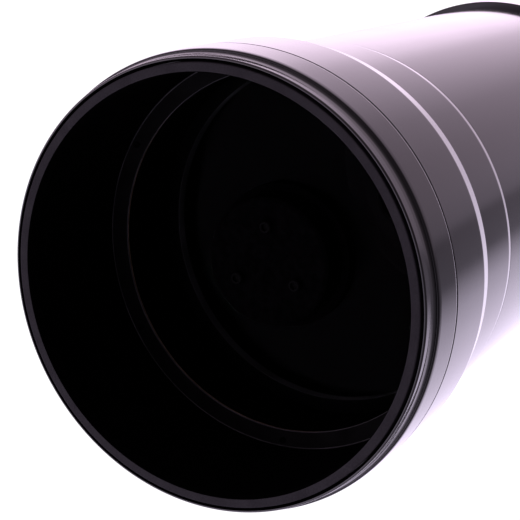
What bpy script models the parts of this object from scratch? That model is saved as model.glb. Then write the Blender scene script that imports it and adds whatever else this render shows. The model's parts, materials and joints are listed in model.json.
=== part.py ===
"""Eight-inch Schmidt-Cassegrain telescope: tube with hood, optics, focuser, diagonal, finder and dovetail.

The optical axis runs along Y: the open front faces -Y and the eyepiece end +Y, with +Z up. The origin is
the centre of the dovetail bar's bottom face. Sizes along the axis are stations, measured rearwards in
millimetres from the plane of the front lip.
"""

from math import cos, pi, radians, sin

import bmesh
import bpy
from mathutils import Matrix, Vector

MM = 0.001
GAP = 0.3                     # between pieces that touch

# Driving dimensions, in millimetres
AXIS_HEIGHT = 134.0           # optical axis above the bottom of the dovetail bar
BAR_START, BAR_END = 110.0, 462.0
APERTURE_R = 101.6
TUBE_R, TUBE_BORE_R = 112.1, 110.4
SPIGOT_R, SPIGOT_BORE_R = 110.1, 108.3
LIP_R = 108.3
HOOD_BORE_R = 111.6
BAND_R = 112.9
COLLAR_R = 119.8
SEAM_A = 9.2                 # bead to hood ring
SEAM_B = 32.0                 # hood ring to front cell
COLLAR_END = 83.8
BAND_END = 136.2
RING_REAR = 87.7              # rear face of the corrector retaining ring
SEAT_R = 105.5
BAFFLE_STATION = 142.5
SPIGOT_LENGTH = 13.8
TUBE_END = 425.0
REAR_CELL_R = 116.5
BACK_INNER, BACK_OUTER = 472.0, 478.0
HUB_REAR = 486.0
HUB_BORE_R = 21.6
MIRROR_REAR = 438.0
MIRROR_VERTEX = 425.0
MIRROR_CURVE_R = 812.0        # radius of curvature of the primary
FOCUS_ANGLE, FOCUS_OFFSET = 200.0, 65.0
BARREL_R = 15.85              # 1.25 inch barrels
DIAGONAL_STATION = 558.0      # where the light turns up to the eyepiece
FINDER_ANGLE, FINDER_OFFSET = 180.0, 170.0
FINDER_PIVOT = 412.0
FINDER_SCREWS = 448.0
HANDLE_R, HANDLE_ANGLES, HANDLE_REACH = 92.0, (-25.0, 25.0), 32.0

LARGE, MEDIUM, SMALL, TINY = 48, 28, 20, 10    # sides of round pieces


def clear_scene():
    for thing in list(bpy.data.objects):
        bpy.data.objects.remove(thing, do_unlink=True)


# ---------------------------------------------------------------- frames

def frame(origin, z_axis, x_axis):
    """Matrix of a local frame, from its origin in metres and two of its axes."""
    z = Vector(z_axis).normalized()
    x = Vector(x_axis).normalized()
    y = z.cross(x)
    rotation = Matrix((x, y, z)).transposed().to_4x4()
    return Matrix.Translation(Vector(origin)) @ rotation


def spot(angle, radius, station):
    """Point at a clock angle (from +X towards +Z), radius and station, in metres."""
    middle = (BAR_START + BAR_END) / 2
    x = radius * cos(radians(angle))
    z = AXIS_HEIGHT + radius * sin(radians(angle))
    return Vector((x, station - middle, z)) * MM


def outward(angle):
    return Vector((cos(radians(angle)), 0, sin(radians(angle))))


def axial(angle=0.0, radius=0.0, station=0.0):
    """Frame with Z rearwards along the tube and X pointing outwards at the angle."""
    return frame(spot(angle, radius, station), (0, 1, 0), outward(angle))


def radial(angle, station, centre=None):
    """Frame with Z pointing outwards at the angle, from the optical axis or another centre."""
    origin = spot(0, 0, station) if centre is None else centre
    return frame(origin, outward(angle), (0, 1, 0))


# ---------------------------------------------------------------- materials

def material(name, colour, roughness, metallic=0.0, transmission=0.0):
    made = bpy.data.materials.new(name)
    made.use_nodes = True
    shader = made.node_tree.nodes["Principled BSDF"]
    shader.inputs["Base Color"].default_value = (*colour, 1.0)
    shader.inputs["Roughness"].default_value = roughness
    shader.inputs["Metallic"].default_value = metallic
    shader.inputs["Transmission Weight"].default_value = transmission
    return made


FINISHES = {
    "gloss_black": ((0.012, 0.011, 0.013), 0.12, 0.0, 0.0),
    "matt_black": ((0.035, 0.032, 0.036), 0.6, 0.0, 0.0),
    "flat_black": ((0.004, 0.004, 0.004), 0.95, 0.0, 0.0),
    "satin_black": ((0.02, 0.02, 0.021), 0.35, 0.0, 0.0),
    "rubber": ((0.018, 0.018, 0.019), 0.8, 0.0, 0.0),
    "chrome": ((0.75, 0.75, 0.76), 0.12, 1.0, 0.0),
    "steel": ((0.5, 0.5, 0.52), 0.3, 1.0, 0.0),
    "black_steel": ((0.04, 0.04, 0.042), 0.35, 1.0, 0.0),
    "aluminium": ((0.7, 0.7, 0.72), 0.35, 1.0, 0.0),
    "brass": ((0.78, 0.6, 0.3), 0.3, 1.0, 0.0),
    "glass": ((0.95, 0.97, 0.96), 0.02, 0.0, 1.0),
    "mirror": ((0.92, 0.92, 0.93), 0.02, 1.0, 0.0),
    "cork": ((0.45, 0.32, 0.2), 0.9, 0.0, 0.0),
}


# ---------------------------------------------------------------- building blocks

def add(name, bm, finish, place):
    """Turn a bmesh into a named object with its own material."""
    bmesh.ops.recalc_face_normals(bm, faces=bm.faces)
    mesh = bpy.data.meshes.new(name)
    bm.to_mesh(mesh)
    bm.free()
    mesh.shade_smooth()
    mesh.set_sharp_from_angle(angle=radians(35))
    made = bpy.data.objects.new(name, mesh)
    bpy.context.collection.objects.link(made)
    if finish:
        mesh.materials.append(material(name, *FINISHES[finish]))
    made.matrix_world = place
    return made


def lathe(bm, profile, sides):
    """Spin (station, radius) points round the local Z axis; a profile may start and end on the axis."""
    start = Vector((0, 0, 0))
    verts = [bm.verts.new(Vector((r, 0, z)) * MM) for z, r in profile]
    edges = []
    for k in range(len(profile)):
        after = (k + 1) % len(profile)
        if profile[k][1] > 0 or profile[after][1] > 0:
            edges.append(bm.edges.new((verts[k], verts[after])))
    bmesh.ops.spin(
        bm, geom=verts + edges, cent=start, axis=(0, 0, 1), angle=2 * pi, steps=sides, use_merge=True,
    )
    bmesh.ops.remove_doubles(bm, verts=bm.verts, dist=1e-6)


def turned(name, profile, finish, place, sides=LARGE):
    bm = bmesh.new()
    lathe(bm, profile, sides)
    return add(name, bm, finish, place)


def extruded(name, outline, start, end, finish, place, bevel=0.0):
    """Extrude an (x, y) outline along local Z from start to end, all in millimetres."""
    bm = bmesh.new()
    verts = [bm.verts.new((x * MM, y * MM, start * MM)) for x, y in outline]
    face = bm.faces.new(verts)
    grown = bmesh.ops.extrude_face_region(bm, geom=[face])["geom"]
    moved = [g for g in grown if isinstance(g, bmesh.types.BMVert)]
    bmesh.ops.translate(bm, verts=moved, vec=(0, 0, (end - start) * MM))
    if bevel:
        bmesh.ops.bevel(
            bm, geom=bm.edges[:], offset=bevel * MM, segments=1, affect="EDGES", clamp_overlap=True,
        )
    return add(name, bm, finish, place)


def box(name, low, high, finish, place, bevel=0.0):
    outline = [(low[0], low[1]), (high[0], low[1]), (high[0], high[1]), (low[0], high[1])]
    return extruded(name, outline, low[2], high[2], finish, place, bevel)


def rod_cutter(radius, start, end, place, sides=TINY):
    return turned("cutter", [(start, 0), (start, radius), (end, radius), (end, 0)], None, place, sides)


def combine(target, tool, operation):
    """Add a Boolean with a tool that stays hidden."""
    tool.hide_render = True
    tool.display_type = "WIRE"
    step = target.modifiers.new(operation.lower(), "BOOLEAN")
    step.operation = operation
    step.object = tool


def cut(targets, tool):
    for target in targets:
        combine(target, tool, "DIFFERENCE")


# ---------------------------------------------------------------- front

def build_front():
    place = axial()
    turned("front_lip_ring", [
        (0.0, LIP_R), (0.0, LIP_R + 5.0), (SEAM_A, LIP_R + 5.0), (SEAM_A, HOOD_BORE_R), (8.2, LIP_R),
    ], "matt_black", place)
    turned("trim_bead_ring", [
        (4.0, LIP_R + 5.3), (0.4, 114.9), (0.6, 115.6), (1.2, 116.1), (5.8, 116.3), (7.6, 116.7),
        (8.6, 117.3), (SEAM_A - 0.2, 117.7), (SEAM_A - 0.2, LIP_R + 5.3),
    ], "gloss_black", place)
    turned("hood_ring", [
        (SEAM_A + GAP, HOOD_BORE_R), (SEAM_A + GAP, 118.1), (9.8, 118.55), (10.4, 118.85), (12.0, 119.05),
        (SEAM_B - 1.4, COLLAR_R - 0.1), (SEAM_B, COLLAR_R - 0.35), (SEAM_B, HOOD_BORE_R),
    ], "gloss_black", place)
    turned("front_cell", [
        (SEAM_B + GAP, HOOD_BORE_R), (SEAM_B + GAP, COLLAR_R - 0.15), (71.5, COLLAR_R - 0.3), (83.0, 117.4),
        (COLLAR_END, 116.4), (COLLAR_END, BAND_R), (131.2, BAND_R - 0.1), (BAND_END, BAND_R - 0.75),
        (BAND_END, SPIGOT_R), (BAND_END + SPIGOT_LENGTH, SPIGOT_R),
        (BAND_END + SPIGOT_LENGTH, SPIGOT_BORE_R), (96.3, SPIGOT_BORE_R), (96.3, APERTURE_R),
        (92.8, APERTURE_R), (92.8, SEAT_R), (RING_REAR + GAP, SEAT_R), (RING_REAR + GAP, HOOD_BORE_R),
    ], "gloss_black", place)


def build_corrector():
    place = axial()
    turned("corrector_retaining_ring", [
        (84.6, 111.2), (86.7, APERTURE_R), (RING_REAR, APERTURE_R), (RING_REAR, 111.2),
    ], "flat_black", place)
    turned("corrector_gasket", [
        (RING_REAR + GAP, 101.9), (RING_REAR + GAP, 105.0), (88.6, 105.0), (88.6, 101.9),
    ], "cork", place)
    turned("corrector_plate", [
        (88.9, 34.6), (88.9, 104.9), (92.5, 104.9), (92.5, 34.6),
    ], "glass", place)


def build_secondary():
    place = axial()
    housing = turned("secondary_housing", [
        (66.0, 0), (66.0, 33.5), (67.5, 35.5), (84.0, 36.0), (84.0, 40.0), (RING_REAR, 40.0),
        (RING_REAR, 34.3), (97.0, 34.3), (97.0, 31.2), (71.0, 31.2), (71.0, 0),
    ], "flat_black", place, MEDIUM)
    turned("secondary_retainer", [
        (92.8, 34.9), (92.8, 40.0), (95.8, 40.0), (95.8, 36.9), (120.0, 39.6), (120.0, 38.4), (97.5, 34.9),
    ], "flat_black", place, MEDIUM)
    pivot = axial(0, 0, 76.4)
    turned("secondary_pivot", [
        (-5.1, 0), (-5.1, 2.4), (-3.2, 2.4), (-1.6, 4.0), (1.2, 4.2), (2.6, 2.6), (3.1, 0),
    ], "steel", pivot, TINY)
    holder = turned("secondary_mirror_holder", [
        (3.4, 0), (3.4, 27.0), (8.4, 27.0), (8.4, 0),
    ], "aluminium", pivot, MEDIUM)
    turned("secondary_mirror", [
        (8.7, 0), (8.7, 29.5), (16.4, 29.5), (17.5, 20.0), (18.1, 10.0), (18.3, 0),
    ], "mirror", pivot, MEDIUM)
    for letter, angle in zip("abc", (90, 210, 330)):
        own = axial(angle, 20.0, 66.0)
        turned(f"collimation_screw_{letter}", [
            (-3.5, 0), (-3.5, 3.6), (-0.4, 3.6), (-0.4, 2.0), (17.5, 2.0), (17.5, 0),
        ], "black_steel", own, TINY)
        cut([housing, holder], rod_cutter(2.7, -1.0, 22.0, own))


# ---------------------------------------------------------------- tube and rear cell

def build_tube():
    place = axial()
    turned("tube_baffle_ring", [
        (BAFFLE_STATION, 100.1), (BAFFLE_STATION, 108.0), (144.0, 108.0), (144.0, 101.2), (149.0, 101.2),
        (149.0, 100.1),
    ], "flat_black", place)
    turned("main_tube", [
        (BAND_END + GAP, TUBE_BORE_R), (BAND_END + GAP, TUBE_R), (TUBE_END, TUBE_R), (TUBE_END, TUBE_BORE_R),
    ], "gloss_black", place)
    rear = turned("rear_cell", [
        (411.0, SPIGOT_BORE_R), (411.0, SPIGOT_R), (TUBE_END + GAP, SPIGOT_R), (TUBE_END + GAP, REAR_CELL_R),
        (468.0, REAR_CELL_R), (474.0, 115.0), (BACK_OUTER, 110.0), (BACK_OUTER, 37.0), (HUB_REAR, 35.0),
        (HUB_REAR, HUB_BORE_R), (BACK_INNER, HUB_BORE_R), (BACK_INNER, 104.0), (466.0, SPIGOT_BORE_R),
    ], "gloss_black", place)
    return rear


def build_primary():
    place = axial()
    turned("primary_baffle_tube", [
        (262.0, 17.6), (262.0, 19.5), (466.0, 19.5), (466.0, 32.0), (BACK_INNER - GAP, 32.0),
        (BACK_INNER - GAP, 21.2), (494.0, 21.2), (494.0, 17.6),
    ], "flat_black", place, MEDIUM)
    carrier = turned("mirror_carrier", [
        (404.0, 20.1), (404.0, 26.0), (MIRROR_REAR + GAP, 26.0), (MIRROR_REAR + GAP, 45.0), (443.0, 45.0),
        (443.0, 26.0), (450.0, 26.0), (450.0, 20.1),
    ], "aluminium", place, MEDIUM)
    lug = box("cutter", (40.0, -8.0, MIRROR_REAR + GAP), (73.0, 8.0, 443.0), None, axial(FOCUS_ANGLE))
    combine(carrier, lug, "UNION")
    cut([carrier], rod_cutter(3.6, 436.0, 445.0, axial(FOCUS_ANGLE, FOCUS_OFFSET), 16))
    radii = (26.5, 55.0, 80.0, APERTURE_R)
    face = [(MIRROR_VERTEX - r * r / (2 * MIRROR_CURVE_R), r) for r in radii]
    turned("primary_mirror", face + [(MIRROR_REAR, APERTURE_R), (MIRROR_REAR, 26.5)], "mirror", place)
    turned("mirror_clamp_ring", [
        (417.0, 26.4), (417.0, 33.5), (423.8, 33.5), (423.8, 26.4),
    ], "aluminium", place, MEDIUM)


def build_focuser(rear):
    place = axial(FOCUS_ANGLE, FOCUS_OFFSET)
    turned("focus_rod", [
        (438.6, 0), (438.6, 3.2), (443.3, 3.2), (443.3, 5.5), (446.3, 5.5), (446.3, 3.0), (498.0, 3.0),
        (498.0, 0),
    ], "steel", place, 16)
    turned("focus_bearing_housing", [
        (466.0, 7.2), (466.0, 11.7), (BACK_OUTER + GAP, 11.7), (BACK_OUTER + GAP, 20.0), (482.3, 20.0),
        (482.3, 9.0), (468.0, 9.0), (468.0, 7.2),
    ], "satin_black", place, SMALL)
    cut([rear], rod_cutter(12.1, 463.0, 480.0, place, SMALL))
    for name, start in (("focus_bearing_front", 468.4), ("focus_bearing_rear", 477.5)):
        turned(name, [(start, 6.3), (start, 8.6), (start + 4, 8.6), (start + 4, 6.3)], "steel", place, 16)
    turned("focus_nut", [
        (461.0, 3.4), (461.0, 8.0), (465.6, 8.0), (465.6, 5.8), (500.0, 5.8), (500.0, 3.4),
    ], "brass", place, 16)
    turned("focus_knob", [
        (509.5, 0), (509.5, 6.3), (486.0, 6.3), (486.0, 14.0), (488.0, 15.6), (510.0, 15.6), (513.0, 13.5),
        (513.0, 0),
    ], "satin_black", place, SMALL)
    turned("knob_grip", [
        (489.0, 15.9), (489.0, 18.0), (490.0, 18.6), (508.0, 18.6), (509.0, 18.0), (509.0, 15.9),
    ], "rubber", place, SMALL)


# ---------------------------------------------------------------- visual back, diagonal and eyepiece

def thumbscrew(name, place, tip, head, finish="satin_black"):
    """Thumbscrew along local Z, from its tip to the start of its head."""
    return turned(name, [
        (tip, 0), (tip, 1.8), (head, 1.8), (head, 4.0), (head + 1.5, 5.5), (head + 7.0, 5.5),
        (head + 8.0, 4.5), (head + 8.0, 0),
    ], finish, place, TINY)


def build_visual_back():
    place = axial()
    turned("rear_port_ring", [
        (HUB_REAR + GAP, HUB_BORE_R), (HUB_REAR + GAP, 32.0), (489.3, 32.0), (489.3, 25.4), (497.0, 25.4),
        (497.0, HUB_BORE_R),
    ], "aluminium", place, MEDIUM)
    turned("visual_back_collar", [
        (490.0, 25.8), (490.0, 30.0), (503.0, 30.0), (503.0, 20.8), (500.6, 20.8), (500.6, 25.8),
    ], "satin_black", place, MEDIUM)
    tube = turned("visual_back_tube", [
        (497.3, 16.3), (497.3, 25.2), (500.3, 25.2), (500.3, 20.3), (532.0, 20.3), (532.0, 16.3),
    ], "satin_black", place, MEDIUM)
    own = radial(45, 520.0)
    thumbscrew("visual_back_thumbscrew", own, BARREL_R + 0.4, 23.0)
    cut([tube], rod_cutter(2.3, 14.0, 24.0, own))


def build_diagonal():
    turned("diagonal_nosepiece", [
        (508.0, 14.0), (508.0, BARREL_R), (532.4, BARREL_R), (532.4, 19.5), (535.0, 19.5), (535.0, 14.0),
    ], "chrome", axial(), MEDIUM)
    up = axial(90, 0, DIAGONAL_STATION)                     # X up, Z rearwards
    side = frame(up.translation, up.col[1].xyz, up.col[0].xyz)   # Z across, X up, Y forwards
    # outline in (up, forwards), extruded across
    body = extruded("diagonal_body", [
        (-22.0, 22.7), (-22.0, 15.0), (19.0, -26.0), (22.0, -26.0), (22.0, 22.7),
    ], -21.0, 21.0, "satin_black", side, 1.2)
    cut([body], rod_cutter(13.5, -25.0, 3.0, up, SMALL))
    mast = frame(up.translation, (0, 0, 1), (0, 1, 0))      # Z up the eyepiece axis
    cut([body], rod_cutter(13.2, -3.0, 25.0, mast, SMALL))
    slope = frame(up.translation, (0, 1, -1), (0, 1, 1))    # Z out through the sloping back
    cut([body], box("cutter", (-19.7, -14.6, -0.5), (19.7, 14.6, 12.0), None, slope))
    box("diagonal_mirror", (-19.0, -14.0, 0.2), (19.0, 14.0, 4.4), "mirror", slope)
    box("diagonal_cover", (-25.0, -20.0, 5.3), (30.0, 20.0, 8.3), "satin_black", slope, 0.8)
    holder = turned("eyepiece_holder", [
        (22.3, 13.8), (22.3, 20.5), (26.0, 20.5), (27.0, 19.5), (50.0, 19.5), (50.0, 16.3), (26.0, 16.3),
        (26.0, 13.8),
    ], "satin_black", mast, MEDIUM)
    clamp = frame(mast @ Vector((0, 0, 0.040)), (0, 1, 0), (1, 0, 0))
    thumbscrew("eyepiece_thumbscrew", clamp, BARREL_R + 0.4, 22.0)
    cut([holder], rod_cutter(2.3, 14.0, 24.0, clamp))
    turned("eyepiece_barrel", [
        (30.0, 14.0), (30.0, BARREL_R), (50.3, BARREL_R), (50.3, 14.0),
    ], "chrome", mast, MEDIUM)
    turned("eyepiece_body", [
        (50.6, 12.0), (50.6, 18.0), (52.0, 19.0), (70.0, 19.0), (74.0, 15.5), (84.0, 15.5), (84.0, 10.5),
        (80.0, 10.5), (80.0, 9.0),
    ], "satin_black", mast, SMALL)
    turned("eyepiece_eye_lens", [
        (80.3, 0), (80.3, 10.2), (83.0, 10.2), (83.7, 0),
    ], "glass", mast, SMALL)
    turned("eyepiece_eyecup", [
        (75.5, 15.8), (75.5, 18.0), (84.0, 18.5), (94.0, 20.0), (94.0, 18.8), (84.6, 15.8),
    ], "rubber", mast, SMALL)


# ---------------------------------------------------------------- finder

def build_finder():
    base = axial(FINDER_ANGLE)                              # X outwards from the tube
    shoe = box("finder_shoe", (112.0, -16.0, 434.0), (127.0, 16.0, 466.0), "satin_black", base)
    cut([shoe], rod_cutter(REAR_CELL_R + GAP, 430.0, 470.0, axial(), LARGE))
    groove = [(121.0, -11.3), (121.0, 11.3), (128.5, 8.2), (128.5, -8.2)]
    cut([shoe], extruded("cutter", groove, 430.0, 470.0, None, base))
    foot = [(121.3, -10.8), (121.3, 10.8), (127.5, 8.2), (127.5, -8.2)]
    bracket = extruded("finder_bracket", foot, 438.0, 464.0, "satin_black", base)
    stalk = box("cutter", (126.5, -6.0, 438.0), (148.0, 6.0, 462.0), None, base)
    combine(bracket, stalk, "UNION")
    ring_place = axial(FINDER_ANGLE, FINDER_OFFSET)
    hoop_profile = [(405.0, 21.0), (405.0, 24.0), (462.0, 24.0), (462.0, 21.0)]
    combine(bracket, turned("cutter", hoop_profile, None, ring_place, MEDIUM), "UNION")
    side = base.col[1].xyz
    clamp = frame(base @ Vector((124.0 * MM, 0, 450.0 * MM)), -side, (0, 1, 0))
    thumbscrew("finder_shoe_thumbscrew", clamp, 10.9, 17.5)
    cut([shoe], rod_cutter(2.2, 8.0, 18.0, clamp))

    pivot = axial(FINDER_ANGLE, FINDER_OFFSET, FINDER_PIVOT)
    turned("finder_o_ring", [
        (-2.0, 16.6), (-2.0, 19.8), (-1.0, 20.6), (1.0, 20.6), (2.0, 19.8), (2.0, 16.6), (1.0, 15.85),
        (-1.0, 15.85),
    ], "rubber", pivot, SMALL)
    turned("finder_tube", [
        (-116.0, 17.5), (-116.0, 19.0), (-82.0, 19.0), (-72.0, 15.5), (56.0, 15.5), (56.0, 13.5),
        (-71.0, 13.5), (-81.0, 17.5),
    ], "gloss_black", pivot, SMALL)
    turned("finder_objective_cell", [
        (-129.0, 16.2), (-129.0, 20.4), (-108.0, 20.4), (-108.0, 19.5), (-116.3, 19.5), (-116.3, 15.2),
        (-119.3, 15.2), (-119.3, 16.2),
    ], "satin_black", pivot, SMALL)
    turned("finder_objective_lens", [
        (-125.0, 0), (-124.0, 15.9), (-119.6, 15.9), (-119.6, 0),
    ], "glass", pivot, SMALL)
    turned("finder_eyepiece", [
        (56.3, 10.5), (56.3, 15.5), (61.0, 15.5), (63.0, 13.0), (81.0, 12.5), (81.0, 7.5), (77.0, 7.5),
        (72.0, 10.5),
    ], "satin_black", pivot, SMALL)
    hub = axial(FINDER_ANGLE, FINDER_OFFSET, FINDER_SCREWS).translation
    for name, angle, finish in (
        ("finder_adjust_screw_a", 20, "satin_black"),
        ("finder_adjust_screw_b", -100, "satin_black"),
        ("finder_plunger", 140, "steel"),
    ):
        own = radial(FINDER_ANGLE - angle, 0, hub)
        thumbscrew(name, own, 17.0, 26.0, finish)
        cut([bracket], rod_cutter(2.2, 18.0, 26.0, own))


# ---------------------------------------------------------------- dovetail and handle

def build_dovetail():
    floor = spot(0, 0, 0) - Vector((0, 0, AXIS_HEIGHT * MM))
    lying = frame(floor, (0, 1, 0), (1, 0, 0))              # X across, Y down, Z rearwards
    bar = extruded("dovetail_bar", [
        (-22.0, 0.0), (22.0, 0.0), (22.0, -2.0), (18.6, -14.0), (-18.6, -14.0), (-22.0, -2.0),
    ], BAR_START, BAR_END, "satin_black", lying)
    for name, start, end, seat_r in (("front", 112.0, 134.0, BAND_R), ("rear", 432.0, 460.0, REAR_CELL_R)):
        block = extruded(f"dovetail_block_{name}", [
            (-18.0, -14.3), (18.0, -14.3), (18.0, -24.0), (-18.0, -24.0),
        ], start, end, "satin_black", lying)
        cut([block], rod_cutter(seat_r + GAP, start - 6.0, end + 6.0, axial(), LARGE))
        upright = frame(floor + Vector((0, (start + end) / 2, 0)) * MM, (0, 0, 1), (1, 0, 0))
        turned(f"dovetail_bolt_{name}", [
            (0.8, 0), (0.8, 6.2), (6.8, 6.2), (6.8, 3.8), (15.9, 3.8), (15.9, 0),
        ], "black_steel", upright, TINY)
        cut([bar, block], rod_cutter(4.2, -1.0, 28.0, upright))
        cut([bar], rod_cutter(6.7, -1.0, 7.1, upright))


def build_handle():
    """A round grip bowed rearwards between two feet on the back of the rear cell."""
    first, last = (spot(angle, HANDLE_R, BACK_OUTER + GAP) for angle in HANDLE_ANGLES)
    reach = Vector((0, HANDLE_REACH * MM, 0))
    corner = 14.0 * MM
    along = (last - first).normalized()
    bends = []
    for foot, inward in ((first, along), (last, -along)):
        start = foot + reach - Vector((0, corner, 0))
        turns = [k * pi / 12 for k in range(7)]
        arc = [start + inward * corner * (1 - cos(t)) + Vector((0, corner * sin(t), 0)) for t in turns]
        bends.append(arc)
    points = [first, *bends[0], *reversed(bends[1]), last]
    curve = bpy.data.curves.new("carry_handle", "CURVE")
    curve.dimensions = "3D"
    curve.bevel_depth = 6.5 * MM
    curve.bevel_resolution = 2
    curve.use_fill_caps = True
    spline = curve.splines.new("POLY")
    spline.points.add(len(points) - 1)
    for point, place in zip(spline.points, points):
        point.co = (*place, 1)
    curve.materials.append(material("carry_handle", *FINISHES["rubber"]))
    handle = bpy.data.objects.new("carry_handle", curve)
    bpy.context.collection.objects.link(handle)


def main():
    clear_scene()
    build_front()
    build_corrector()
    build_secondary()
    rear = build_tube()
    build_primary()
    build_focuser(rear)
    build_visual_back()
    build_diagonal()
    build_finder()
    build_dovetail()
    build_handle()


main()
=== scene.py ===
"""Looks of an eight-inch Schmidt-Cassegrain telescope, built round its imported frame."""

import json
from collections import Counter
from math import atan2, cos, pi, radians, sin

import bmesh
import bpy
from mathutils import Matrix, Vector

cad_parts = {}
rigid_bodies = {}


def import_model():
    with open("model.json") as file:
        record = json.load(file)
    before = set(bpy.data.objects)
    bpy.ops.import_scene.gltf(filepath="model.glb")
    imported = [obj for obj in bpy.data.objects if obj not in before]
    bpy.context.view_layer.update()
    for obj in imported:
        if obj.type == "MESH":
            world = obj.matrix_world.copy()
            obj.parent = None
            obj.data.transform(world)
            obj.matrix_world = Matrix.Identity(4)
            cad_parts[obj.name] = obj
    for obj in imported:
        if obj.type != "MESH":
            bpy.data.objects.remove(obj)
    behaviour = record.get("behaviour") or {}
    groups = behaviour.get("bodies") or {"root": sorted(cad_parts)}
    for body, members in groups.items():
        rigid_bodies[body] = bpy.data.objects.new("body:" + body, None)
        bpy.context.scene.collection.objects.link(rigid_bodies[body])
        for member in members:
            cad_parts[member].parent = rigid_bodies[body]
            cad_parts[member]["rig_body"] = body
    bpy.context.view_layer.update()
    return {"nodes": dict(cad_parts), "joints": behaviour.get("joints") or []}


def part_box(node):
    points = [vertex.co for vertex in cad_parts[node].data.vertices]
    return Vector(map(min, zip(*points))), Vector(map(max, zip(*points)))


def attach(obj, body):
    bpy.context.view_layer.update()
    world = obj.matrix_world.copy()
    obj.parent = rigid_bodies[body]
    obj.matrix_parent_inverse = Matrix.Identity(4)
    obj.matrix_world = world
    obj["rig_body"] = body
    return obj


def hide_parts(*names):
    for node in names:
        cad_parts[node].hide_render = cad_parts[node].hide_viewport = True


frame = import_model()

LIP_LOW, LIP_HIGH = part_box("front_lip_ring")
LIP_CENTRE = Vector(((LIP_LOW.x + LIP_HIGH.x) / 2, LIP_LOW.y, (LIP_LOW.z + LIP_HIGH.z) / 2))
REAR = Vector((0, 1, 0))
UP = Vector((0, 0, 1))
ROUND, FINE, SMALL = 240, 120, 64          # sides of large, middling and small turned pieces

# Radii just outside the bores: what lies inside them is lined with flat black.
LIP_LINING, HOOD_LINING, TUBE_LINING = 0.1087, 0.1121, 0.1112
# Radii that set off the edges of the rings in the light path, which take a painted glint for the light they
# catch.
RING_INNER_GLINT, RING_OUTER_GLINT, BAFFLE_INNER_GLINT = 0.1019, 0.1103, 0.1004

RING_SCREW_CIRCLE = 0.1075                 # radius on which the retaining ring's screws sit
TUBE_SCREW_CIRCLE = 0.11205                # radius from which the tube's screws stand out
BEARING_SCREW_CIRCLE = 0.0155              # radius of the focus bearing's screw circle


# ---------------------------------------------------------------- node materials

class Shader:
    """A Principled material with short ways to add the noises that every finish here is made from."""

    def __init__(self, name, colour, roughness, metallic=0.0, specular=0.5, slot=""):
        self.made = bpy.data.materials.new(f"{name}_finish")
        self.made["slot"] = slot or name
        self.made.use_nodes = True
        self.nodes = self.made.node_tree.nodes
        self.links = self.made.node_tree.links
        self.surface = self.nodes["Principled BSDF"]
        self.colour = colour
        self.set("Base Color", (*colour, 1.0))
        self.set("Roughness", roughness)
        self.set("Metallic", metallic)
        self.set("Specular IOR Level", specular)
        self.place = self.nodes.new("ShaderNodeTexCoord").outputs["Object"]

    def set(self, socket, value):
        self.surface.inputs[socket].default_value = value

    def noise(self, size, detail=3.0, stretch=None):
        """Noise with features of about size metres, optionally drawn out along an axis."""
        node = self.nodes.new("ShaderNodeTexNoise")
        node.inputs["Scale"].default_value = 1.0 / size
        node.inputs["Detail"].default_value = detail
        source = self.place
        if stretch:
            mapping = self.nodes.new("ShaderNodeMapping")
            mapping.inputs["Scale"].default_value = stretch
            self.links.new(source, mapping.inputs["Vector"])
            source = mapping.outputs["Vector"]
        self.links.new(source, node.inputs["Vector"])
        return node.outputs["Fac"]

    def spread(self, factor, low, high, start=0.3, end=0.7):
        """Map a noise from start..end to low..high."""
        node = self.nodes.new("ShaderNodeMapRange")
        for name, value in (("From Min", start), ("From Max", end), ("To Min", low), ("To Max", high)):
            node.inputs[name].default_value = value
        self.links.new(factor, node.inputs["Value"])
        return node.outputs["Result"]

    def tone(self, factor, dark, light):
        """Colour that goes from dark to light with a factor."""
        ramp = self.nodes.new("ShaderNodeValToRGB")
        ramp.color_ramp.elements[0].position = 0.35
        ramp.color_ramp.elements[1].position = 0.65
        ramp.color_ramp.elements[0].color = (*dark, 1.0)
        ramp.color_ramp.elements[1].color = (*light, 1.0)
        self.links.new(factor, ramp.inputs["Fac"])
        return ramp.outputs["Color"]

    def mottle(self, size, share, detail=3.0, stretch=None):
        """Vary the base colour by a share of itself."""
        dark = [c * (1 - share) for c in self.colour]
        light = [min(1.0, c * (1 + share)) for c in self.colour]
        colour = self.tone(self.noise(size, detail, stretch), dark, light)
        self.links.new(colour, self.surface.inputs["Base Color"])

    def uneven(self, size, low, high, detail=4.0, stretch=None):
        """Vary the roughness."""
        roughness = self.spread(self.noise(size, detail, stretch), low, high)
        self.links.new(roughness, self.surface.inputs["Roughness"])

    def bump(self, size, depth, strength=1.0, detail=2.0, stretch=None):
        """Add relief of the size and depth, in metres, over what is already there."""
        node = self.nodes.new("ShaderNodeBump")
        node.inputs["Strength"].default_value = strength
        node.inputs["Distance"].default_value = depth
        self.links.new(self.noise(size, detail, stretch), node.inputs["Height"])
        before = self.surface.inputs["Normal"]
        if before.is_linked:
            self.links.new(before.links[0].from_socket, node.inputs["Normal"])
        self.links.new(node.outputs["Normal"], before)

    def worn_edges(self, light, amount=0.5):
        """Rub the finish lighter where the surface turns sharply outwards."""
        point = self.nodes.new("ShaderNodeNewGeometry").outputs["Pointiness"]
        edge = self.spread(point, 0.0, amount, 0.53, 0.62)
        grit = self.spread(self.noise(0.0016, 5.0), 0.0, 1.0, 0.42, 0.62)
        both = self.nodes.new("ShaderNodeMath")
        both.operation = "MULTIPLY"
        self.links.new(edge, both.inputs[0])
        self.links.new(grit, both.inputs[1])
        mix = self.nodes.new("ShaderNodeMix")
        mix.data_type = "RGBA"
        mix.inputs["B"].default_value = (*light, 1.0)
        colour = self.surface.inputs["Base Color"]
        if colour.is_linked:
            self.links.new(colour.links[0].from_socket, mix.inputs["A"])
        else:
            mix.inputs["A"].default_value = (*self.colour, 1.0)
        self.links.new(both.outputs[0], mix.inputs["Factor"])
        self.links.new(mix.outputs["Result"], colour)


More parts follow.
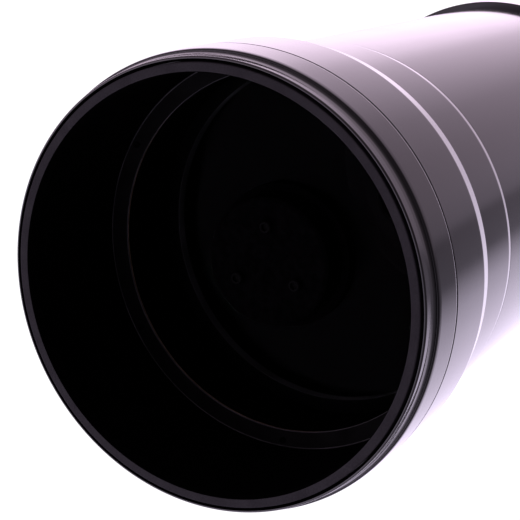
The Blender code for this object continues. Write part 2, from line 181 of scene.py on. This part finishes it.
def gloss_paint():
    """Baked black enamel: deep reflections, a trace of orange peel and fine dust."""
    m = Shader("gloss_black_paint", (0.0016, 0.0014, 0.0018), 0.1)
    m.uneven(0.03, 0.085, 0.13)
    m.mottle(0.05, 0.25)
    m.bump(0.0035, 0.00001, 0.35)
    return m.made


def polished_trim():
    """The bead behind the lip: black enamel polished harder than the rest."""
    m = Shader("polished_trim", (0.002, 0.0018, 0.0022), 0.12, specular=0.9, slot="gloss_black_paint")
    m.mottle(0.05, 0.25)
    m.uneven(0.03, 0.1, 0.15)
    m.bump(0.0035, 0.00001, 0.3)
    return m.made


def matt_paint():
    """Powder coat with a fine pebbled surface."""
    m = Shader("matt_black_paint", (0.016, 0.014, 0.017), 0.62, specular=0.2)
    m.mottle(0.0009, 0.3, 5.0)
    m.uneven(0.012, 0.55, 0.72)
    m.bump(0.0006, 0.00008, 0.5, 3.0)
    m.worn_edges((0.05, 0.047, 0.052), 0.35)
    return m.made


def flat_black():
    """Light-trap paint, as near to nothing as the eye can see."""
    m = Shader("flat_black", (0.0011, 0.001, 0.0012), 0.95, specular=0.015)
    m.mottle(0.004, 0.5, 5.0)
    m.bump(0.0008, 0.0001, 0.5)
    return m.made


def baffle_black():
    """Flat black with a slight sheen, on the turned rings that edge the light path."""
    m = Shader("baffle_black", (0.0012, 0.0011, 0.0013), 0.6, specular=0.05, slot="flat_black")
    m.mottle(0.003, 0.4)
    m.uneven(0.01, 0.42, 0.6)
    m.bump(0.0006, 0.00003, 0.3, stretch=(1, 12, 1))
    return m.made


def baffle_glint():
    """The same rings where their edges carry a painted glint: lighter and shinier, standing for the light the
    edges catch.
    """
    m = Shader("baffle_glint", (0.04, 0.038, 0.042), 0.4, specular=0.4, slot="flat_black")
    m.mottle(0.02, 0.5)
    m.uneven(0.01, 0.35, 0.5)
    m.bump(0.0006, 0.00003, 0.3)
    return m.made


def satin_black():
    """Black anodised aluminium, rubbed a little at its edges."""
    m = Shader("satin_black", (0.016, 0.015, 0.017), 0.34, specular=0.6)
    m.mottle(0.01, 0.25)
    m.uneven(0.006, 0.28, 0.42)
    m.bump(0.0005, 0.00003, 0.35)
    m.worn_edges((0.16, 0.16, 0.17), 0.35)
    return m.made


def rubber():
    m = Shader("rubber", (0.014, 0.014, 0.015), 0.78, specular=0.3)
    m.mottle(0.006, 0.35, 5.0)
    m.uneven(0.004, 0.68, 0.88)
    m.bump(0.0007, 0.00012, 0.6, 4.0)
    return m.made


def chrome():
    m = Shader("chrome", (0.72, 0.72, 0.74), 0.09, 1.0)
    m.uneven(0.004, 0.06, 0.16, 6.0)
    m.bump(0.0008, 0.000004, 0.2)
    return m.made


def turned_steel(name="steel", colour=(0.5, 0.5, 0.52), low=0.22, high=0.38):
    m = Shader(name, colour, 0.3, 1.0)
    m.mottle(0.003, 0.12, 5.0)
    m.uneven(0.002, low, high, 5.0)
    m.bump(0.0003, 0.00002, 0.4, stretch=(1, 8, 1))
    return m.made


def black_steel():
    """Black oxide screws: dark, slightly oily, worn bright in the sockets."""
    m = Shader("black_steel", (0.03, 0.03, 0.032), 0.36, 0.6)
    m.mottle(0.001, 0.3, 5.0)
    m.uneven(0.001, 0.28, 0.46)
    m.bump(0.0003, 0.00002, 0.4)
    m.worn_edges((0.3, 0.3, 0.31), 0.4)
    return m.made


def shaded_steel():
    """Black steel screws inside the light path, with painted shade: their colour darkened nearly to black for
    the shade inside the tube.
    """
    m = Shader("shaded_steel", (0.0014, 0.0013, 0.0015), 0.75, specular=0.04, slot="black_steel")
    m.mottle(0.001, 0.3, 5.0)
    m.uneven(0.001, 0.5, 0.7)
    m.bump(0.0003, 0.00002, 0.4)
    return m.made


def bare_aluminium():
    m = Shader("bare_aluminium", (0.66, 0.66, 0.68), 0.32, 1.0)
    m.mottle(0.006, 0.08)
    m.uneven(0.003, 0.24, 0.4)
    m.bump(0.00035, 0.00003, 0.4, stretch=(1, 10, 1))
    return m.made


def brass():
    m = Shader("brass", (0.72, 0.53, 0.25), 0.28, 1.0)
    m.mottle(0.004, 0.12, 5.0)
    m.uneven(0.002, 0.2, 0.36)
    m.bump(0.0003, 0.00002, 0.4)
    return m.made


def coated_glass(name="coated_glass", specular=0.02, colour=(0.93, 0.97, 0.96)):
    """Optical glass whose coating takes away almost all of its reflection."""
    m = Shader(name, colour, 0.02, specular=specular, slot="coated_glass")
    m.set("Transmission Weight", 1.0)
    m.set("IOR", 1.04)
    m.uneven(0.02, 0.012, 0.03)
    return m.made


def mirror_coat():
    m = Shader("mirror", (0.9, 0.9, 0.92), 0.02, 1.0)
    m.uneven(0.03, 0.012, 0.035)
    return m.made


def cork():
    m = Shader("cork", (0.42, 0.29, 0.18), 0.9)
    m.mottle(0.0012, 0.45, 6.0)
    m.bump(0.001, 0.0002, 0.7, 4.0)
    return m.made


PAINT = gloss_paint()
TRIM = polished_trim()
MATT = matt_paint()
FLAT = flat_black()
BAFFLE = baffle_black()
BAFFLE_GLINT = baffle_glint()
SATIN = satin_black()
RUBBER = rubber()
CHROME = chrome()
STEEL = turned_steel()
BLACK_STEEL = black_steel()
SHADED_STEEL = shaded_steel()
ALUMINIUM = bare_aluminium()
BRASS = brass()
CORRECTOR_GLASS = coated_glass("corrector_glass", 0.004)
LENS_GLASS = coated_glass("lens_glass", 0.25, (0.9, 0.93, 0.97))
MIRROR = mirror_coat()
CORK = cork()


# ---------------------------------------------------------------- outlines and turned pieces

def local_frame(origin, z_axis, x_axis=None):
    """Matrix of a frame from its origin, its Z axis and a direction near its X axis."""
    z = Vector(z_axis).normalized()
    x = Vector(x_axis) if x_axis is not None else (UP if abs(z.z) < 0.9 else REAR)
    x = (x - z * x.dot(z)).normalized()
    rotation = Matrix((x, z.cross(x), z)).transposed().to_4x4()
    return Matrix.Translation(Vector(origin)) @ rotation


def joint_frame(name):
    """Frame on a joint's axis, with Z along it."""
    joint = next(j for j in frame["joints"] if j["name"] == name)
    return local_frame(joint["pos_m"], joint["axis"])


def node_frame(node, axis=REAR):
    """Frame on the axis of a CAD node turned about Y, from the lip plane, or about Z, from the ground."""
    low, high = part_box(node)
    middle = (low + high) / 2
    start = LIP_CENTRE.y if axis == REAR else 0.0
    origin = Vector((middle.x, start, middle.z)) if axis == REAR else Vector((middle.x, middle.y, start))
    return local_frame(origin, axis)


def outline_of(node, place):
    """The (along, radius) outline of a turned CAD node, in order, read from its own vertices."""
    mesh = frame["nodes"][node].data
    inverse = place.inverted()
    keys, turns = [], []
    for vertex in mesh.vertices:
        x, y, z = inverse @ vertex.co
        keys.append((round(z, 5), round((x * x + y * y) ** 0.5, 5)))
        turns.append(atan2(y, x))
    count = Counter(keys)
    least = max(count.values()) / 2
    real = {k for k in count if count[k] >= least or k[1] < 1e-5}
    beside = {}
    for edge in mesh.edges:
        a, b = edge.vertices
        if keys[a] == keys[b] or keys[a] not in real or keys[b] not in real:
            continue
        same_turn = abs(turns[a] - turns[b]) < 1e-3 or min(keys[a][1], keys[b][1]) < 1e-5
        if same_turn:
            beside.setdefault(keys[a], set()).add(keys[b])
            beside.setdefault(keys[b], set()).add(keys[a])
    ends = [k for k in beside if k[1] < 1e-5]
    path = [min(ends) if ends else min(beside)]
    while True:
        onward = sorted(k for k in beside[path[-1]] if k not in path)
        if not onward:
            return path, bool(ends)
        path.append(onward[0])


def soften(profile, size, is_open=False, steps=3, hold=0.0007):
    """Round each real corner of an outline, and hold the flats beside every corner with their own points."""
    points = []
    last = len(profile) - 1
    for k, corner in enumerate(profile):
        here = Vector(corner)
        if is_open and k in (0, last):
            points.append(here)
            continue
        before = Vector(profile[k - 1]) - here
        after = Vector(profile[(k + 1) % len(profile)]) - here
        if before.angle(after) > radians(158):
            points.append(here + before.normalized() * min(hold, 0.3 * before.length))
            points.append(here)
            points.append(here + after.normalized() * min(hold, 0.3 * after.length))
            continue
        reach = min(size, 0.3 * before.length, 0.3 * after.length)
        first, final = before.normalized(), after.normalized()
        points.append(here + first * reach * 1.4)
        for step in range(steps + 1):
            t = step / steps
            points.append(here + first * reach * (1 - t) ** 2 + final * reach * t ** 2)
        points.append(here + final * reach * 1.4)
    return [tuple(p) for p in points]


def lathe(name, profile, place, sides, materials, is_open=False, ripples=(), inside=None, outside=None):
    """Spin an outline round the frame's Z axis.

    Each ripple is (start, end, least radius, count, depth): grooves cut into that stretch of the outline.
    Faces whose middle has a radius under inside, or over outside, take the second material.
    """
    rings, vertices = [], []
    for along, radius in profile:
        if radius < 1e-6:
            rings.append([len(vertices)])
            vertices.append((0.0, 0.0, along))
            continue
        groove = next((r for r in ripples if r[0] <= along <= r[1] and radius >= r[2]), None)
        count, depth = groove[3:] if groove else (0, 0.0)
        ring = []
        for k in range(sides):
            turn = 2 * pi * k / sides
            here = radius - depth * (0.5 + 0.5 * cos(turn * count)) ** 0.7
            ring.append(len(vertices))
            vertices.append((here * cos(turn), here * sin(turn), along))
        rings.append(ring)
    faces, inner = [], []
    pairs = list(zip(rings, rings[1:])) + ([] if is_open else [(rings[-1], rings[0])])
    radii = [p[1] for p in profile]
    pair_radii = list(zip(radii, radii[1:])) + ([] if is_open else [(radii[-1], radii[0])])
    for (a, b), (ra, rb) in zip(pairs, pair_radii):
        if len(a) == 1 and len(b) == 1:
            continue
        for k in range(sides):
            n = (k + 1) % sides
            if len(a) == 1:
                faces.append((a[0], b[n], b[k]))
            elif len(b) == 1:
                faces.append((a[k], a[n], b[0]))
            else:
                faces.append((a[k], a[n], b[n], b[k]))
            middle = (ra + rb) / 2
            inner.append(bool(inside and middle < inside or outside and middle > outside))
    return piece_from(name, vertices, faces, place, materials, inner)


def piece_from(name, vertices, faces, place, materials, second=None):
    """A smooth piece from vertices and faces; the faces flagged in second take the second material."""
    mesh = bpy.data.meshes.new(name)
    mesh.from_pydata(vertices, [], faces)
    bm = bmesh.new()
    bm.from_mesh(mesh)
    bmesh.ops.recalc_face_normals(bm, faces=bm.faces)
    bm.to_mesh(mesh)
    bm.free()
    for made in materials:
        mesh.materials.append(made)
    if second and any(second):
        mesh.polygons.foreach_set("material_index", [int(flag) for flag in second])
    mesh.shade_smooth()
    mesh.set_sharp_from_angle(angle=radians(50))
    piece = bpy.data.objects.new(name, mesh)
    bpy.context.collection.objects.link(piece)
    piece.matrix_world = place
    return piece


def settle(piece, body, *nodes):
    """Let a piece ride on a body and stand for CAD nodes."""
    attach(piece, body)
    if nodes:
        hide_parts(*nodes)
    return piece


def body_of(node):
    return frame["nodes"][node]["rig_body"]


def refine(node, material, size=0.0004, sides=FINE, place=None, knurl=None, second=None, inside=None,
           outside=None, steps=3):
    """A finely turned piece with softened corners, in place of a faceted CAD node.

    A knurl is (count, depth): grooves along the outline's widest stretch.
    """
    place = place or node_frame(node)
    profile, is_open = outline_of(node, place)
    ripples = []
    if knurl:
        widest = max(r for _, r in profile)
        stretch = [along for along, r in profile if r > widest - 1e-5]
        margin = 0.12 * (max(stretch) - min(stretch))
        ripples = [(min(stretch) + margin, max(stretch) - margin, widest - 1e-4, *knurl)]
    materials = [material] + ([second] if second else [])
    profile = divide(soften(profile, size, is_open, steps), ripples)
    piece = lathe(f"{node}_finish", profile, place, sides, materials, is_open, ripples, inside, outside)
    return settle(piece, body_of(node), node)


def thumbscrew(node, joint):
    """A small screw with a knurled head, turned about its own joint's axis."""
    refine(node, SATIN, 0.0003, 96, place=joint_frame(joint), knurl=(20, 0.0006))


def divide(profile, ripples):
    """Add points where a ripple starts and ends, so that its grooves run out cleanly."""
    points = []
    for k, here in enumerate(profile):
        points.append(here)
        onward = profile[(k + 1) % len(profile)]
        cuts = []
        for start, end, *_ in ripples:
            for edge in (start, end):
                for nudge in (-1e-5, 1e-5):
                    level = edge + nudge
                    if min(here[0], onward[0]) < level < max(here[0], onward[0]):
                        t = (level - here[0]) / (onward[0] - here[0])
                        cuts.append((t, (level, here[1] + t * (onward[1] - here[1]))))
        if k < len(profile) - 1 or cuts:
            points.extend(p for _, p in sorted(cuts))
    return points


def refined_block(node, material, width=0.0008, segments=3):
    """A CAD node that isn't turned, welded and with its edges rounded."""
    mesh = frame["nodes"][node].data.copy()
    mesh.materials.clear()
    mesh.materials.append(material)
    bm = bmesh.new()
    bm.from_mesh(mesh)
    bmesh.ops.remove_doubles(bm, verts=bm.verts, dist=2e-6)
    bmesh.ops.dissolve_limit(bm, angle_limit=radians(1), verts=bm.verts, edges=bm.edges)
    bmesh.ops.recalc_face_normals(bm, faces=bm.faces)
    bm.to_mesh(mesh)
    bm.free()
    for polygon in mesh.polygons:
        polygon.material_index = 0
    piece = bpy.data.objects.new(f"{node}_finish", mesh)
    bpy.context.collection.objects.link(piece)
    bevel = piece.modifiers.new("edges", "BEVEL")
    bevel.width = width
    bevel.segments = segments
    bevel.limit_method = "ANGLE"
    bevel.angle_limit = radians(32)
    bevel.harden_normals = True
    mesh.shade_smooth()
    mesh.set_sharp_from_angle(angle=radians(32))
    return settle(piece, body_of(node), node)


def socket_head(name, place, radius, height, material, shank=0.0, length=0.0, sides=48):
    """Screw along its frame's Z: a head with a rounded top and a six-sided socket, and a shank below."""
    key = radius * 0.5
    rings = [(height * 0.55, radius), (height * 0.82, radius * 0.93), (height, radius * 0.74),
             (height, key * 1.3), (height * 0.95, key * 1.16)]
    base = [(0.0, radius)]
    if shank:
        base = [(-length, shank * 0.8), (shank * 0.2 - length, shank), (0.0, shank), (0.0, radius)]
    circles = [[(r * cos(2 * pi * k / sides), r * sin(2 * pi * k / sides), z) for k in range(sides)]
               for z, r in base + rings]
    for z in (height * 0.9, height * 0.4):
        circle = []
        for k in range(sides):
            turn = 2 * pi * k / sides
            r = key / cos(turn % (pi / 3) - pi / 6)
            circle.append((r * cos(turn), r * sin(turn), z))
        circles.append(circle)
    vertices = [(0, 0, circles[0][0][2])] + [p for circle in circles for p in circle] + [(0, 0, height * 0.3)]
    last = len(vertices) - 1
    faces = []
    for k in range(sides):
        n = (k + 1) % sides
        faces.append((0, 1 + n, 1 + k))
        faces.append((last, last - sides + k, last - sides + n))
        for ring in range(len(circles) - 1):
            a, b = 1 + ring * sides, 1 + (ring + 1) * sides
            faces.append((a + k, a + n, b + n, b + k))
    return piece_from(name, vertices, faces, place, [material])


# ---------------------------------------------------------------- front

TUBE = "tube_assembly"


def front_pieces():
    """Lip, bead, hood ring and front cell, painted outside and lined with flat black."""
    refine("front_lip_ring", MATT, 0.0007, ROUND, second=FLAT, inside=LIP_LINING, steps=4)
    refine("trim_bead_ring", TRIM, 0.0004, ROUND, steps=4)
    refine("hood_ring", PAINT, 0.0004, ROUND, second=FLAT, inside=HOOD_LINING)
    refine("front_cell", PAINT, 0.0004, ROUND, second=FLAT, inside=HOOD_LINING)
    # The retaining ring's and baffle ring's edges take a painted glint for the light they catch.
    refine("corrector_retaining_ring", BAFFLE, 0.0006, ROUND, second=BAFFLE_GLINT,
           inside=RING_INNER_GLINT, outside=RING_OUTER_GLINT)
    refine("corrector_gasket", CORK, 0.0001, ROUND)
    refine("corrector_plate", CORRECTOR_GLASS, 0.0002, ROUND)
    refine("tube_baffle_ring", BAFFLE, 0.0002, ROUND, second=BAFFLE_GLINT, inside=BAFFLE_INNER_GLINT)
    refine("main_tube", PAINT, 0.0002, ROUND, second=FLAT, inside=TUBE_LINING)


def ring_screws():
    """Six small domed screws that hold the corrector's retaining ring."""
    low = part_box("corrector_retaining_ring")[0]
    for k in range(6):
        turn = radians(30 + 60 * k)
        here = Vector((cos(turn), 0, sin(turn))) * RING_SCREW_CIRCLE
        here += Vector((LIP_CENTRE.x, low.y + 0.0009, LIP_CENTRE.z))
        place = local_frame(here, -REAR)
        # Painted shade: these screws are darkened for the shade inside the tube.
        settle(socket_head(f"retaining_ring_screw_{k + 1}", place, 0.0019, 0.0012, SHADED_STEEL), TUBE)


def tube_screws():
    """Eight domed screws round the back of the tube, into the rear cell's spigot."""
    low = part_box("rear_cell")[0]
    for k in range(8):
        turn = radians(22.5 + 45 * k)
        out = Vector((cos(turn), 0, sin(turn)))
        here = out * TUBE_SCREW_CIRCLE + Vector((LIP_CENTRE.x, low.y + 0.0068, LIP_CENTRE.z))
        place = local_frame(here, out, REAR)
        settle(socket_head(f"tube_screw_{k + 1}", place, 0.0031, 0.0016, BLACK_STEEL), TUBE)


def secondary_pieces():
    """Secondary mirror with its holder, pivot and housing, and the three collimation screws."""
    refine("secondary_housing", FLAT, 0.0006, FINE)
    refine("secondary_retainer", FLAT, 0.0003, FINE)
    refine("secondary_mirror", MIRROR, 0.0003, FINE, place=node_frame("secondary_mirror"))
    refine("secondary_mirror_holder", ALUMINIUM, 0.0004, FINE)
    refine("secondary_pivot", STEEL, 0.0003, SMALL)
    for letter in "abc":
        node = f"collimation_screw_{letter}"
        low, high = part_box(node)
        middle = (low + high) / 2
        head = 0.0031
        place = local_frame((middle.x, low.y + head, middle.z), -REAR)
        length = high.y - low.y - head
        # Painted shade: the collimation screws are darkened for the shade inside the tube.
        piece = socket_head(f"{node}_finish", place, 0.0036, head, SHADED_STEEL, 0.002, length)
        settle(piece, body_of(node), node)


# ---------------------------------------------------------------- inside and back of the tube

def inner_pieces():
    """Primary mirror with its carrier and clamp, the baffle tube it slides on, and the focus drive."""
    refine("primary_baffle_tube", FLAT, 0.0003, FINE)
    refine("primary_mirror", MIRROR, 0.0003, ROUND)
    refine("mirror_clamp_ring", ALUMINIUM, 0.0003, FINE)
    repaint(ALUMINIUM, "mirror_carrier")
    knob = joint_frame("focus_turn")
    refine("focus_rod", STEEL, 0.0003, SMALL, place=knob)
    refine("focus_nut", BRASS, 0.0003, SMALL, place=knob)
    refine("focus_bearing_front", STEEL, 0.0003, SMALL, place=knob)
    refine("focus_bearing_rear", STEEL, 0.0003, SMALL, place=knob)


def repaint(material, *nodes):
    """Give CAD nodes that keep their own shape a finish."""
    for node in nodes:
        mesh = frame["nodes"][node].data
        mesh.materials.clear()
        mesh.materials.append(material)
        mesh.shade_smooth()
        mesh.set_sharp_from_angle(angle=radians(30))


def back_pieces():
    """Rear cell with its focus bearing, knob, port and adapter."""
    knob = joint_frame("focus_turn")
    cell = refine("rear_cell", PAINT, 0.0012, ROUND, steps=4)
    housing_low, housing_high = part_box("focus_bearing_housing")
    middle = (housing_low + housing_high) / 2
    bore_place = local_frame((middle.x, housing_low.y + 0.006, middle.z), REAR)
    bore = lathe("bore", [(-0.02, 0), (-0.02, 0.0121), (0.02, 0.0121), (0.02, 0)],
                 bore_place, FINE, [PAINT], is_open=True)
    carve(cell, bore)
    refine("focus_bearing_housing", SATIN, 0.0005, FINE, place=knob)
    for k in range(3):
        turn = radians(90 + 120 * k)
        here = Vector((middle.x, housing_high.y - 0.0002, middle.z))
        here += Vector((cos(turn), 0, sin(turn))) * BEARING_SCREW_CIRCLE
        place = local_frame(here, REAR)
        settle(socket_head(f"bearing_screw_{k + 1}", place, 0.0022, 0.0018, BLACK_STEEL), TUBE)
    refine("focus_knob", SATIN, 0.0005, FINE, place=knob)
    refine("knob_grip", RUBBER, 0.0004, 192, place=knob, knurl=(24, 0.0009))
    refine("rear_port_ring", ALUMINIUM, 0.0003, FINE)
    refine("visual_back_collar", SATIN, 0.0004, 288, knurl=(72, 0.0005))
    refine("visual_back_tube", SATIN, 0.0005, FINE)
    thumbscrew("visual_back_thumbscrew", "back_screw_turn")


def carve(piece, cutter):
    """Cut a closed cutter out of a piece for good, and remove the cutter."""
    step = piece.modifiers.new("cut", "BOOLEAN")
    step.operation = "DIFFERENCE"
    step.object = cutter
    shaped = piece.evaluated_get(bpy.context.evaluated_depsgraph_get())
    mesh = bpy.data.meshes.new_from_object(shaped)
    piece.modifiers.clear()
    piece.data = mesh
    bpy.data.objects.remove(cutter)
    mesh.shade_smooth()
    mesh.set_sharp_from_angle(angle=radians(35))


# ---------------------------------------------------------------- diagonal and eyepiece

def diagonal_pieces():
    """Star diagonal with its mirror and cover, and the eyepiece."""
    refine("diagonal_nosepiece", CHROME, 0.0004, FINE)
    refined_block("diagonal_body", SATIN, 0.0012, 4)
    refined_block("diagonal_cover", SATIN, 0.0008, 3)
    repaint(MIRROR, "diagonal_mirror")
    low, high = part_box("diagonal_cover")
    middle = (low + high) / 2
    out = Vector((0, 1, -1)).normalized()
    along = Vector((0, 1, 1)).normalized()
    corners = ((-0.023, -0.0155), (-0.023, 0.0155), (0.023, 0.0155), (0.023, -0.0155))
    for k, (up, across) in enumerate(corners):
        here = middle + along * up + Vector((across, 0, 0)) + out * 0.0014
        place = local_frame(here, out, along)
        settle(socket_head(f"diagonal_screw_{k + 1}", place, 0.0021, 0.0013, BLACK_STEEL), "diagonal")
    refine("eyepiece_holder", SATIN, 0.0005, FINE, place=node_frame("eyepiece_holder", UP))
    thumbscrew("eyepiece_thumbscrew", "eyepiece_screw_turn")
    refine("eyepiece_barrel", CHROME, 0.0004, FINE, place=node_frame("eyepiece_barrel", UP))
    refine("eyepiece_body", SATIN, 0.0005, 240, place=node_frame("eyepiece_body", UP), knurl=(60, 0.0005))
    refine("eyepiece_eye_lens", LENS_GLASS, 0.0001, FINE, place=node_frame("eyepiece_eye_lens", UP))
    refine("eyepiece_eyecup", RUBBER, 0.0004, FINE, place=node_frame("eyepiece_eyecup", UP))


# ---------------------------------------------------------------- finder

def finder_pieces():
    """Finder with its shoe, bracket and screws."""
    refined_block("finder_shoe", SATIN, 0.0008)
    refined_block("finder_bracket", SATIN, 0.0007)
    thumbscrew("finder_shoe_thumbscrew", "shoe_screw_turn")
    refine("finder_o_ring", RUBBER, 0.0004, FINE)
    refine("finder_tube", PAINT, 0.0008, FINE, steps=4)
    refine("finder_objective_cell", SATIN, 0.0005, 240, knurl=(60, 0.0004))
    refine("finder_objective_lens", LENS_GLASS, 0.0001, FINE)
    refine("finder_eyepiece", SATIN, 0.0005, 240, knurl=(48, 0.0004))
    thumbscrew("finder_adjust_screw_a", "adjust_turn_a")
    thumbscrew("finder_adjust_screw_b", "adjust_turn_b")
    tube_low, tube_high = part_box("finder_tube")
    low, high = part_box("finder_plunger")
    centre = (tube_low + tube_high) / 2
    centre.y = (low.y + high.y) / 2
    axis = next(j for j in frame["joints"] if j["name"] == "plunger_push")["axis"]
    refine("finder_plunger", STEEL, 0.0003, 96, place=local_frame(centre, axis), knurl=(20, 0.0006))


# ---------------------------------------------------------------- dovetail bar and handle

def dovetail_pieces():
    """Mounting bar with its two blocks and bolts."""
    refined_block("dovetail_bar", SATIN, 0.0007)
    refined_block("dovetail_block_front", SATIN, 0.0006)
    refined_block("dovetail_block_rear", SATIN, 0.0006)
    for end in ("front", "rear"):
        node = f"dovetail_bolt_{end}"
        low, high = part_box(node)
        middle = (low + high) / 2
        head = 0.006
        place = local_frame((middle.x, middle.y, low.z + head), -UP)
        length = high.z - low.z - head
        piece = socket_head(f"{node}_finish", place, 0.0062, head, BLACK_STEEL, 0.0038, length)
        settle(piece, body_of(node), node)


def handle_piece():
    """Rubber grip: a round bar bowed between two feet, with shallow finger grooves along its middle."""
    low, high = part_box("carry_handle")
    grip = 0.0065
    corner = 0.014
    foot_low = Vector(((low.x + high.x) / 2, low.y, low.z + grip))
    foot_high = Vector((foot_low.x, low.y, high.z - grip))
    top = high.y - grip
    points = []
    turns = [k * pi / 24 for k in range(13)]
    points += [foot_low + REAR * (top - corner - low.y) * k / 4 for k in range(4)]
    points += [Vector((foot_low.x, top - corner * (1 - sin(turn)), foot_low.z + corner * (1 - cos(turn))))
               for turn in turns]
    reach = foot_high.z - foot_low.z - 2 * corner
    points += [Vector((foot_low.x, top, foot_low.z + corner + reach * k / 60)) for k in range(1, 60)]
    points += [Vector((p.x, p.y, low.z + high.z - p.z)) for p in reversed(points[:17])]
    sides = 40
    vertices, faces = [], []
    for k, here in enumerate(points):
        before, after = points[max(k - 1, 0)], points[min(k + 1, len(points) - 1)]
        along = (after - before).normalized()
        across = Vector((1, 0, 0))
        lift = across.cross(along)
        share = (here.z - foot_low.z - corner) / reach
        groove = 0.0
        if 0.0 < share < 1.0:
            groove = 0.0008 * sin(pi * share) ** 0.5 * (0.5 + 0.5 * cos(2 * pi * share * 4))
        ends = min(k, len(points) - 1 - k)
        radius = grip - groove - (0.0008 if ends == 0 else 0.0)
        for side in range(sides):
            turn = 2 * pi * side / sides
            vertices.append(here + (across * cos(turn) + lift * sin(turn)) * radius)
    for ring in range(len(points) - 1):
        for side in range(sides):
            onward = (side + 1) % sides
            faces.append((ring * sides + side, ring * sides + onward, (ring + 1) * sides + onward,
                          (ring + 1) * sides + side))
    last = (len(points) - 1) * sides
    faces.append(tuple(range(sides)))
    faces.append(tuple(range(last, last + sides)))
    piece = piece_from("carry_handle_finish", vertices, faces, Matrix.Identity(4), [RUBBER])
    settle(piece, body_of("carry_handle"), "carry_handle")


# ---------------------------------------------------------------- surroundings

# Brightness of the panels behind the tube, by their bearing round its axis in degrees: 0 is right, 90 is up.
PANELS = (
    (-180, 1.5), (-85, 1.88), (-60, 1.8), (-42, 1.5), (-32, 1.0), (-22, 0.36), (-1, 0.34), (5, 0.58),
    (20, 0.70), (44, 0.80), (68, 0.98), (92, 1.45), (115, 1.85), (127, 2.4), (140, 2.57), (158, 2.3),
    (180, 1.5),
)
BRIGHTEST = 3.0


def studio_world():
    """White studio: panels all round behind the tube, with one dark gap, and little light in front."""
    world = bpy.data.worlds.new("studio")
    bpy.context.scene.world = world
    world.use_nodes = True
    nodes, links = world.node_tree.nodes, world.node_tree.links
    nodes.clear()
    place = nodes.new("ShaderNodeTexCoord").outputs["Generated"]
    parts = nodes.new("ShaderNodeSeparateXYZ")
    links.new(place, parts.inputs[0])

    def spread(source, start, end, low, high, curve="SMOOTHSTEP"):
        node = nodes.new("ShaderNodeMapRange")
        node.interpolation_type = curve
        for name, value in (("From Min", start), ("From Max", end), ("To Min", low), ("To Max", high)):
            node.inputs[name].default_value = value
        links.new(source, node.inputs["Value"])
        return node.outputs["Result"]

    def lobe(direction, start, end, low, high):
        dot = nodes.new("ShaderNodeVectorMath")
        dot.operation = "DOT_PRODUCT"
        dot.inputs[1].default_value = Vector(direction).normalized()
        links.new(place, dot.inputs[0])
        return spread(dot.outputs["Value"], start, end, low, high)

    def both(first, second, operation):
        node = nodes.new("ShaderNodeMath")
        node.operation = operation
        for socket, source in zip(node.inputs, (first, second)):
            if isinstance(source, float):
                socket.default_value = source
            else:
                links.new(source, socket)
        return node.outputs[0]

    def blend(share, first, second):
        rest = both(1.0, share, "SUBTRACT")
        return both(both(first, rest, "MULTIPLY"), both(second, share, "MULTIPLY"), "ADD")

    bearing = both(parts.outputs["Z"], parts.outputs["X"], "ARCTAN2")
    ring = nodes.new("ShaderNodeValToRGB")
    links.new(spread(bearing, -pi, pi, 0.0, 1.0, "LINEAR"), ring.inputs["Fac"])
    stops = ring.color_ramp.elements
    for turn, level in PANELS:
        position = (turn + 180) / 360
        stop = stops[0] if turn == -180 else stops[-1] if turn == 180 else stops.new(position)
        stop.color = (level / BRIGHTEST, level / BRIGHTEST, level / BRIGHTEST, 1.0)
    panels = both(ring.outputs["Color"], BRIGHTEST, "MULTIPLY")
    rear = blend(spread(parts.outputs["Y"], 0.965, 0.995, 0.0, 1.0), panels, 1.6)
    dim = lobe((0.6, -0.8, 0.1), 0.2, 0.9, 0.32, 0.1)
    glow = lobe((-0.55, -0.75, -0.35), 0.3, 0.95, 0.0, 0.9)
    front = both(dim, glow, "ADD")
    total = blend(spread(parts.outputs["Y"], 0.1, 0.55, 0.0, 1.0), front, rear)

    tint = nodes.new("ShaderNodeMix")
    tint.data_type = "RGBA"
    tint.inputs["A"].default_value = (1.0, 0.88, 1.12, 1.0)
    tint.inputs["B"].default_value = (1.0, 0.8, 1.0, 1.0)
    links.new(spread(parts.outputs["Z"], -0.3, 0.3, 0.0, 1.0), tint.inputs["Factor"])
    tinted = nodes.new("ShaderNodeBackground")
    links.new(tint.outputs["Result"], tinted.inputs["Color"])
    links.new(total, tinted.inputs["Strength"])
    plain = nodes.new("ShaderNodeBackground")
    plain.inputs["Color"].default_value = (1, 1, 1, 1)
    plain.inputs["Strength"].default_value = 1.2
    seen = nodes.new("ShaderNodeLightPath").outputs["Is Camera Ray"]
    mix = nodes.new("ShaderNodeMixShader")
    links.new(seen, mix.inputs["Fac"])
    links.new(tinted.outputs[0], mix.inputs[1])
    links.new(plain.outputs[0], mix.inputs[2])
    output = nodes.new("ShaderNodeOutputWorld")
    links.new(mix.outputs[0], output.inputs["Surface"])


def camera():
    """Camera in front of the lip, to its right and a little above."""
    data = bpy.data.cameras.new("camera")
    made = bpy.data.objects.new("camera", data)
    bpy.context.collection.objects.link(made)
    data.lens = 99.4
    data.sensor_width = 36.0
    data.clip_start, data.clip_end = 0.01, 50.0
    made.location = LIP_CENTRE + Vector((0.3410, -0.5960, 0.1871))
    forward = Vector((-0.4488, 0.8603, -0.2418))
    made.rotation_mode = "QUATERNION"
    made.rotation_quaternion = forward.to_track_quat("-Z", "Y")
    bpy.context.scene.camera = made


front_pieces()
ring_screws()
tube_screws()
secondary_pieces()
inner_pieces()
back_pieces()
diagonal_pieces()
finder_pieces()
dovetail_pieces()
handle_piece()
studio_world()
camera()
bpy.context.scene.view_settings.view_transform = "Standard"
